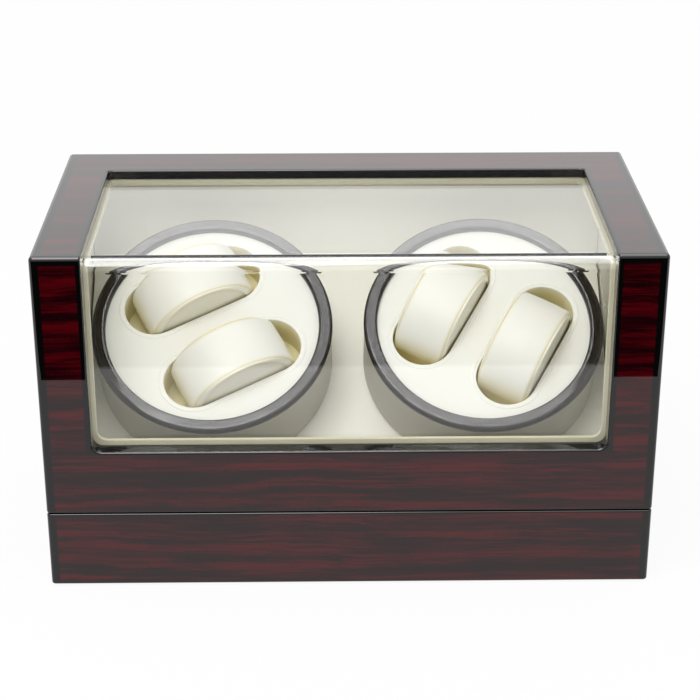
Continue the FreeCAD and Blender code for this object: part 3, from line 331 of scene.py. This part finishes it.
creams = {
    "deckCover": {"color": (0.96, 0.945, 0.87, 1), "deep": (0.945, 0.925, 0.83, 1),
                  "scale": 1100.0, "rough": 0.55},
    "liningCloth": {"color": (0.90, 0.885, 0.80, 1), "deep": (0.87, 0.85, 0.745, 1),
                    "scale": 1500.0, "rough": 0.75},
    # painted shade: the window liner's cream is darkened to olive for the shade along the opening's edges
    "windowLiner": {"color": (0.76, 0.72, 0.55, 1), "deep": (0.70, 0.66, 0.48, 1),
                    "scale": 1200.0, "rough": 0.6},
    # the cushion's extra yellow colour is painted shade for its seams, side panels and low ends
    "cushionLeather": {"color": (0.872, 0.858, 0.795, 1), "deep": (0.852, 0.834, 0.757, 1),
                       "scale": 1300.0, "rough": 0.45, "crease": (0.80, 0.71, 0.42, 1)},
    "flockedDisc": {"color": (0.898, 0.888, 0.830, 1), "deep": (0.878, 0.866, 0.797, 1),
                    "scale": 2200.0, "rough": 0.85},
    # painted shade: the slot walls are cream pushed to a strong yellow for the warm shade deep in the slots
    "wellLining": {"color": (0.96, 0.90, 0.62, 1), "deep": (0.94, 0.87, 0.55, 1),
                   "scale": 1500.0, "rough": 0.8},
    # painted shade: the drum's side is darkened to grey-olive for the shade it sits in
    "drumSide": {"color": (0.52, 0.50, 0.42, 1), "deep": (0.48, 0.46, 0.38, 1),
                 "scale": 700.0, "rough": 0.42},
}
creamSurface = {
    "driftEdge": 0.5, "driftSoft": 0.35, "roughSpread": 0.12, "specular": 0.3,
    "bumpStrength": 0.10, "bumpDepth": 0.0003,
}


def makeCream(name):
    # pale cover with a fine pebble and slow drifts of tone, and, where the finish lists one, painted shade blended
    # in from a point attribute in seams and low parts
    values = creams[name]
    material, tree, shader = newMaterial(name)
    grain = useGroup(tree, fineGrain, Vector=objectCoords(tree), Scale=values["scale"])
    drift = over(tree, grain["Tone"], creamSurface["driftEdge"], creamSurface["driftSoft"])
    tone = blendColor(tree, drift, values["deep"], values["color"])
    # painted shade: seams, side panels and low ends blend towards the listed darker yellow
    if "crease" in values:
        paintedShadeNode = put(tree, "ShaderNodeAttribute", attribute_name="crease")
        tone = blendColor(tree, paintedShadeNode.outputs["Fac"], tone, values["crease"])
    feed(tree, shader.inputs["Base Color"], tone)
    spread = creamSurface["roughSpread"]
    rough = calc(tree, "MULTIPLY_ADD", grain["Tone"], spread, values["rough"] - spread / 2)
    feed(tree, shader.inputs["Roughness"], rough)
    shader.inputs["Specular IOR Level"].default_value = creamSurface["specular"]
    bump(tree, shader, grain["Height"], creamSurface["bumpStrength"], creamSurface["bumpDepth"])
    return material


# plain hardware finishes

plains = {
    "ringGloss": {"color": (0.014, 0.0105, 0.0095, 1), "metal": 0.0, "rough": 0.10, "vary": 0.05},
    "controlPlastic": {"color": (0.018, 0.018, 0.019, 1), "metal": 0.0, "rough": 0.34, "vary": 0.10},
    "brassPlate": {"color": (0.62, 0.43, 0.17, 1), "metal": 1.0, "rough": 0.26, "vary": 0.14},
    "steelPlate": {"color": (0.56, 0.56, 0.57, 1), "metal": 1.0, "rough": 0.30, "vary": 0.16},
    "motorCan": {"color": (0.48, 0.49, 0.50, 1), "metal": 1.0, "rough": 0.36, "vary": 0.12},
    "gearAcetal": {"color": (0.74, 0.74, 0.70, 1), "metal": 0.0, "rough": 0.42, "vary": 0.10},
    "circuitMask": {"color": (0.020, 0.150, 0.062, 1), "metal": 0.0, "rough": 0.30, "vary": 0.12},
    "nylonPost": {"color": (0.72, 0.72, 0.68, 1), "metal": 0.0, "rough": 0.50, "vary": 0.08},
    "leadSheath": {"color": (0.014, 0.014, 0.015, 1), "metal": 0.0, "rough": 0.55, "vary": 0.10},
    "feltSheet": {"color": (0.012, 0.012, 0.012, 1), "metal": 0.0, "rough": 0.95, "vary": 0.04},
    "plainBoard": {"color": (0.30, 0.20, 0.12, 1), "metal": 0.0, "rough": 0.70, "vary": 0.12},
}
plainSurface = {
    "driftScale": 60.0, "driftDetail": 5.0, "driftEdge": 0.5, "driftSoft": 0.3, "shade": 0.80,
    "markScale": 900.0, "markDetail": 2.0, "bumpStrength": 0.04, "bumpDepth": 0.0002,
}


def makePlain(name):
    # one finish whose tone and gloss drift a little, over fine tool or mould marks
    values = plains[name]
    material, tree, shader = newMaterial(name)
    coords = objectCoords(tree)
    drift = noise(tree, coords, plainSurface["driftScale"], plainSurface["driftDetail"])
    marks = noise(tree, coords, plainSurface["markScale"], plainSurface["markDetail"])
    shade = tuple(plainSurface["shade"] * channel for channel in values["color"][:3]) + (1,)
    light = over(tree, drift, plainSurface["driftEdge"], plainSurface["driftSoft"])
    feed(tree, shader.inputs["Base Color"], blendColor(tree, light, shade, values["color"]))
    rough = calc(tree, "MULTIPLY_ADD", drift, values["vary"], values["rough"] - values["vary"] / 2)
    feed(tree, shader.inputs["Roughness"], rough)
    shader.inputs["Metallic"].default_value = values["metal"]
    bump(tree, shader, marks, plainSurface["bumpStrength"], plainSurface["bumpDepth"])
    return material


finishes = {name: makeCream(name) for name in creams}
finishes.update({name: makePlain(name) for name in plains})
finishes.update({name: makeLacquer(name) for name in lacquered})
finishes["clearWindow"] = makeWindow()

finishOfSlot = {
    "clear_window": "clearWindow", "cream_board": "deckCover", "cream_lining": "liningCloth",
    "cream_leather": "cushionLeather", "cream_disc": "flockedDisc", "well_cream": "wellLining",
    "drum_grey": "drumSide", "ring_black": "ringGloss", "board_wood": "plainBoard", "felt": "feltSheet",
    "brass": "brassPlate", "steel": "steelPlate", "motor_can": "motorCan", "gear_white": "gearAcetal",
    "circuit_green": "circuitMask", "nylon": "nylonPost", "lead_black": "leadSheath",
    "control_black": "controlPlastic",
}
ownFinish = {"lid_shell": "lidLacquer", "base_case": "baseLacquer", "pane_liner": "windowLiner"}
for entry in frame["record"]["subparts"]:
    label, slot = entry["node"], entry["material_slot"]
    finish = ownFinish.get(label) or finishOfSlot[slot]
    mesh = nodes[label].data
    mesh.materials.clear()
    mesh.materials.append(finishes[finish])
print("finishes on", len(nodes), "pieces")

# places on the turntables, whose middle and axis come from their joints

tables = {
    "turn": {"left": 27.0, "right": 61.0},
    "slotLength": 0.084, "slotWidth": 0.035, "slotOffset": 0.027, "discFace": -0.002,
    "places": {"left": ("lower", "upper"), "right": ("right", "left")},
}
joints = {joint["name"]: joint for joint in frame["joints"]}


def onTable(points, side):
    # points along the slot, across it and out of the face: turned in the face, tilted, moved to its middle
    spin = joints[f"{side}_turntable_spin"]
    centre, axis = spin["pos_m"], spin["axis"]
    turn = np.radians(tables["turn"][side])
    along, across, out = np.moveaxis(points, -1, 0)
    right = along * np.cos(turn) - across * np.sin(turn)
    up = along * np.sin(turn) + across * np.cos(turn)
    return np.stack([centre[0] + right,
                     centre[1] + up * axis[2] + out * axis[1],
                     centre[2] - up * axis[1] + out * axis[2]], axis=-1)


def eachSlot():
    # side, row below or above the middle, and the slot's name on that turntable
    for side, places in tables["places"].items():
        for row, place in zip((-1, 1), places):
            yield side, row, place


# meshes

def gridMesh(name, grid, closeAlong=False, capEnds=False):
    # a (rows, columns, 3) array as quads; columns close round, rows may close too or get end caps
    rows, columns = grid.shape[:2]
    index = np.arange(rows * columns).reshape(rows, columns)
    alongEnd = rows if closeAlong else rows - 1
    row, column = np.meshgrid(np.arange(alongEnd), np.arange(columns), indexing="ij")
    nextRow, nextColumn = (row + 1) % rows, (column + 1) % columns
    quads = np.stack([index[row, column], index[row, nextColumn],
                      index[nextRow, nextColumn], index[nextRow, column]], axis=-1).reshape(-1, 4)
    faces = quads.tolist()
    if capEnds:
        faces += [index[0, ::-1].tolist(), index[-1].tolist()]
    mesh = bpy.data.meshes.new(name)
    mesh.from_pydata(grid.reshape(-1, 3).tolist(), [], faces)
    mesh.update()
    mesh.polygons.foreach_set("use_smooth", np.ones(len(mesh.polygons), bool))
    piece = bpy.data.objects.new(name, mesh)
    scene.collection.objects.link(piece)
    return piece


def faceOutwards(piece):
    # turn the faces round where the closed shape's signed volume is negative
    mesh = piece.data
    mesh.calc_loop_triangles()
    corner = np.zeros(len(mesh.vertices) * 3)
    mesh.vertices.foreach_get("co", corner)
    corner = corner.reshape(-1, 3)
    triangle = np.zeros(len(mesh.loop_triangles) * 3, int)
    mesh.loop_triangles.foreach_get("vertices", triangle)
    first, second, third = corner[triangle.reshape(-1, 3)].transpose(1, 0, 2)
    if np.sum(np.cross(first, second) * third) < 0:
        mesh.flip_normals()


def subdivide(piece, levels):
    # the same smoothing in the view and in the render
    modifier = piece.modifiers.new("smooth", "SUBSURF")
    modifier.levels = levels
    modifier.render_levels = levels


# cushions: an arched band with a crown, piped long edges and sunk side panels

cushion = {
    "length": 0.067, "half": 0.0163, "crown": 0.0175, "shoulder": -0.010, "foot": -0.0249, "draw": 0.003,
    "swell": 0.0005, "endRadius": 0.0167, "straight": 0.0245, "insetAtEnds": 0.35,
    "crownPoints": 61, "endPoints": 9, "footPoints": 15, "middleSections": 7, "middleReach": 0.8,
    # distance in from the side, inset from the full outline, painted shade tone
    "rim": [(0.0006, 0.00190, 1.0), (0.0002, 0.00160, 0.9), (0.0000, 0.00115, 0.2), (0.0001, 0.00070, 0.0),
            (0.0004, 0.00035, 0.0), (0.0008, 0.00022, 0.0), (0.0012, 0.00034, 0.2), (0.0014, 0.00066, 0.9),
            (0.0016, 0.00080, 1.0), (0.0019, 0.00062, 0.6), (0.0026, 0.00028, 0.1), (0.0042, 0.00006, 0.0),
            (0.0060, 0.0, 0.0)],
    # share of the panel's outline, painted shade tone
    "panel": [(0.04, 0.1), (0.35, 0.1), (0.70, 0.1), (0.88, 0.25), (0.95, 0.8), (0.985, 1.0)],
    "sink": 0.0009, "sinkPower": 4, "tintFrom": 0.004, "tintTo": -0.013, "tintMost": 0.9,
    "pressure": 4.0, "frames": 20, "quality": 6, "mostMove": 0.0006, "leastMove": 1e-9,
    "heldPanel": 2,
}


def cushionReach(across):
    # half length at this place across: a straight plus a round end, cut off at the cushion's own length
    roundEnd = cushion["straight"] + np.sqrt(np.maximum(cushion["endRadius"] ** 2 - across ** 2, 0.0))
    return np.minimum(cushion["length"] / 2, roundEnd)


def cushionOutline(across, inset):
    # one section: a half ellipse over the crown, straight down the right end, along the foot and up the left
    reach = cushionReach(across) - cushion["insetAtEnds"] * inset
    rise = cushion["crown"] - cushion["shoulder"] - inset
    turn = np.radians(np.linspace(-90, 90, cushion["crownPoints"]))
    crown = np.stack([reach * np.sin(turn), cushion["shoulder"] + rise * np.cos(turn)], axis=-1)
    footReach = reach - cushion["draw"]
    right, left = np.array([footReach, cushion["foot"]]), np.array([-footReach, cushion["foot"]])
    share = np.linspace(0, 1, cushion["endPoints"])[1:, None]
    rightEnd = crown[-1] + (right - crown[-1]) * share
    foot = right + (left - right) * np.linspace(0, 1, cushion["footPoints"])[1:, None]
    leftEnd = left + (crown[0] - left) * share[:-1]
    return np.concatenate([crown, rightEnd, foot, leftEnd])


def cushionGrid():
    # sections carried across the width: sunk panel rings, a piped rim, a seam, then the swelling crown
    half, swell, reach = cushion["half"], cushion["swell"], cushion["middleReach"]
    near = [(step - half, inset, crease) for step, inset, crease in cushion["rim"]]
    inside = half - cushion["rim"][-1][0]
    middle = [(share * inside, -swell * (1 - share ** 2), 0.0)
              for share in np.linspace(-reach, reach, cushion["middleSections"])]
    far = [(-across, inset, crease) for across, inset, crease in reversed(near)]
    stations = near + middle + far
    rings = np.array([np.insert(cushionOutline(across, inset), 1, across, axis=1)
                      for across, inset, _ in stations])
    panelShares, panelPaintedShade = np.array(cushion["panel"]).T
    share = panelShares[:, None, None]
    middlePoint = rings[0].mean(0)
    panel = middlePoint + (rings[0] - middlePoint) * share
    panel[..., 1] = -half + cushion["sink"] * share[..., 0] ** cushion["sinkPower"]
    grid = np.concatenate([panel, rings, panel[::-1] * np.array([1, -1, 1])])
    ringPaintedShade = [crease for _, _, crease in stations]
    crease = np.concatenate([panelPaintedShade, ringPaintedShade, panelPaintedShade[::-1]])[:, None]
    # painted shade: the tones listed for seams and panels, raised the lower a point sits towards the foot
    depth = (cushion["tintFrom"] - grid[..., 2]) / (cushion["tintFrom"] - cushion["tintTo"])
    tint = np.maximum(crease, np.clip(depth, 0, 1) * cushion["tintMost"])
    count, firstHeld = len(panel) + len(near), len(panel) - cushion["heldPanel"]
    held = np.zeros(grid.shape[:2], bool)
    held[firstHeld:count] = held[-count:-firstHeld] = True
    held |= grid[..., 2] < cushion["shoulder"]
    return grid, tint, held


def swollen(grid, held):
    # stuffing pressure under a cloth cover whose seams and foot are held, each point's move capped
    piece = gridMesh("cushionTrial", grid, capEnds=True)
    faceOutwards(piece)
    piece.vertex_groups.new(name="held").add(np.flatnonzero(held).tolist(), 1.0, "REPLACE")
    modifier = piece.modifiers.new("cover", "CLOTH")
    modifier.settings.quality = cushion["quality"]
    modifier.settings.vertex_group_mass = "held"
    modifier.settings.use_pressure = True
    modifier.settings.uniform_pressure_force = cushion["pressure"]
    modifier.settings.effector_weights.gravity = 0.0
    modifier.point_cache.frame_start = 1
    modifier.point_cache.frame_end = cushion["frames"]
    for step in range(1, cushion["frames"] + 1):
        scene.frame_set(step)
    result = piece.evaluated_get(bpy.context.evaluated_depsgraph_get()).to_mesh()
    corner = np.zeros(grid.size)
    result.vertices.foreach_get("co", corner)
    move = corner.reshape(grid.shape) - grid
    length = np.linalg.norm(move, axis=-1, keepdims=True)
    bpy.data.objects.remove(piece)
    scene.frame_set(1)
    print("cushion cover moved up to", float(length.max()), "before the cap")
    return grid + move * np.minimum(1.0, cushion["mostMove"] / np.maximum(length, cushion["leastMove"]))


def makeCushion(side, row, place):
    # the swollen cover moved to its slot, with its painted shade tones as an attribute
    placed = coverGrid + np.array([0.0, tables["slotOffset"] * row, 0.0])
    piece = gridMesh(f"cushionCover_{side}_{place}", onTable(placed, side), capEnds=True)
    # the painted shade tones are stored on the points
    shade = piece.data.attributes.new("crease", "FLOAT", "POINT")
    shade.data.foreach_set("value", coverPaintedShade.astype(np.float32).ravel())
    faceOutwards(piece)
    subdivide(piece, 1)
    piece.data.materials.append(finishes["cushionLeather"])
    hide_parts(f"cushion_{side}_{place}")
    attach(piece, f"{side}_{place}_cushion")


coverGrid, coverPaintedShade, coverHeld = cushionGrid()
coverGrid = swollen(coverGrid, coverHeld)
for side, row, place in eachSlot():
    makeCushion(side, row, place)
print("cushions made")

# rolled lips round the slots in the face discs

slotLip = {
    "slotEdge": 0.0009, "inner": 0.00055, "width": 0.0018, "rise": 0.00035, "bed": 0.00002, "root": 0.0003,
    "points": 96, "beadPoints": 7,
}


def makeSlotLip(side, row, place):
    # a low half-round bead carried round the slot's outline, a little outside its edge
    straight = (tables["slotLength"] - tables["slotWidth"]) / 2
    turn = np.linspace(0, 2 * np.pi, slotLip["points"], endpoint=False)
    shift = np.where(np.cos(turn) >= 0, straight, -straight)
    across = np.linspace(0, np.pi, slotLip["beadPoints"])
    spread = slotLip["inner"] + slotLip["width"] * (1 - np.cos(across)) / 2
    lift = tables["discFace"] + slotLip["rise"] * np.sin(across) - slotLip["bed"]
    spread = np.concatenate([spread, [spread[-1], spread[0]]])  # back under the face
    lift = np.concatenate([lift, [tables["discFace"] - slotLip["root"]] * 2])
    reach = tables["slotWidth"] / 2 + slotLip["slotEdge"] + spread[None, :]
    grid = np.stack([shift[:, None] + reach * np.cos(turn)[:, None],
                     reach * np.sin(turn)[:, None] + tables["slotOffset"] * row,
                     np.tile(lift, (len(turn), 1))], axis=-1)
    piece = gridMesh(f"slotLip_{side}_{place}", onTable(grid, side), closeAlong=True)
    faceOutwards(piece)
    piece.data.materials.append(finishes["flockedDisc"])
    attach(piece, f"{side}_turntable")


for side, row, place in eachSlot():
    makeSlotLip(side, row, place)
print("slot lips made")

# floor, world, lights and camera

studio = {
    "floorFront": -0.371, "floorBack": 3.2, "floorSide": 2.6,
    "floorColor": (0.90, 0.90, 0.90, 1), "floorRough": 0.9, "floorWhite": 0.92,
    "ambient": 0.78, "horizonSoft": 0.02, "zenith": 4.0, "zenithEdge": 0.80, "zenithSoft": 0.10,
}
softboxes = {
    "keySoftbox": {"power": 11.8, "place": (-0.30, -0.80, 1.50), "aim": (0, 0, 0.1), "size": (0.8, 0.8)},
    "backSoftbox": {"power": 2.6, "place": (0.0, 1.75, 0.95), "aim": (0, 0, 0.2), "size": (2.6, 1.2)},
}
photoView = {
    "location": (-0.0131, -1.0039, 0.5487), "down": 23.783, "turn": -0.821, "lens": 95.215, "sensor": 36.0,
}


def makeFloor():
    # pale sheet that ends in front of the object, out of the picture; the eye sees it mostly white
    mesh = bpy.data.meshes.new("floorSheet")
    side, front, back = studio["floorSide"], studio["floorFront"], studio["floorBack"]
    corners = [(-side, front, 0), (side, front, 0), (side, back, 0), (-side, back, 0)]
    mesh.from_pydata(corners, [], [(0, 1, 2, 3)])
    floor = bpy.data.objects.new("floorSheet", mesh)
    scene.collection.objects.link(floor)
    material, tree, shader = newMaterial("floorPaper")
    shader.inputs["Base Color"].default_value = studio["floorColor"]
    shader.inputs["Roughness"].default_value = studio["floorRough"]
    shader.inputs["Specular IOR Level"].default_value = 0.0
    glow = put(tree, "ShaderNodeEmission")
    path = put(tree, "ShaderNodeLightPath")
    seen = calc(tree, "MAXIMUM", path.outputs["Is Camera Ray"], path.outputs["Is Glossy Ray"])
    seen = calc(tree, "MAXIMUM", seen, path.outputs["Is Transmission Ray"])
    mix = put(tree, "ShaderNodeMixShader")
    feed(tree, mix.inputs[0], calc(tree, "MULTIPLY", seen, studio["floorWhite"]))
    tree.links.new(shader.outputs[0], mix.inputs[1])
    tree.links.new(glow.outputs[0], mix.inputs[2])
    tree.links.new(mix.outputs[0], tree.nodes["Material Output"].inputs["Surface"])
    mesh.materials.append(material)


def makeWorld():
    # white behind everything; mirrors see it white above the floor line, bright overhead and dark below
    world = bpy.data.worlds.new("studio")
    scene.world = world
    world.use_nodes = True
    tree = world.node_tree
    back = tree.nodes["Background"]
    path = put(tree, "ShaderNodeLightPath")
    direction = put(tree, "ShaderNodeTexCoord").outputs["Generated"]
    height = put(tree, "ShaderNodeSeparateXYZ")
    tree.links.new(direction, height.inputs[0])
    aloft = over(tree, height.outputs["Z"], 0.0, studio["horizonSoft"])
    overhead = over(tree, height.outputs["Z"], studio["zenithEdge"], studio["zenithSoft"])
    sky = calc(tree, "MULTIPLY_ADD", overhead, studio["zenith"], aloft)
    mirrored = calc(tree, "MAXIMUM", path.outputs["Is Glossy Ray"], path.outputs["Is Transmission Ray"])
    mirrored = calc(tree, "MULTIPLY", mirrored, sky)
    ambient = calc(tree, "MULTIPLY", path.outputs["Is Diffuse Ray"], studio["ambient"])
    level = calc(tree, "MAXIMUM", path.outputs["Is Camera Ray"], calc(tree, "MAXIMUM", mirrored, ambient))
    feed(tree, back.inputs["Strength"], level)
    back.inputs["Color"].default_value = (1, 1, 1, 1)


def addLight(name):
    # a rectangle of light that looks from its place to its aim
    values = softboxes[name]
    lamp = bpy.data.lights.new(name, "AREA")
    lamp.shape = "RECTANGLE"
    lamp.size, lamp.size_y = values["size"]
    lamp.energy = values["power"]
    item = bpy.data.objects.new(name, lamp)
    item.location = values["place"]
    gaze = Vector(values["aim"]) - Vector(values["place"])
    item.rotation_euler = gaze.to_track_quat("-Z", "Y").to_euler()
    scene.collection.objects.link(item)


def addCamera():
    # level view turned down and a little to the side, as fitted to the case's corners
    data = bpy.data.cameras.new("photoView")
    data.sensor_width = photoView["sensor"]
    data.lens = photoView["lens"]
    camera = bpy.data.objects.new("photoView", data)
    camera.location = photoView["location"]
    camera.rotation_euler = (np.radians(90 - photoView["down"]), 0, np.radians(photoView["turn"]))
    scene.collection.objects.link(camera)
    scene.camera = camera


makeFloor()
makeWorld()
for name in softboxes:
    addLight(name)
addCamera()
print("stage set")
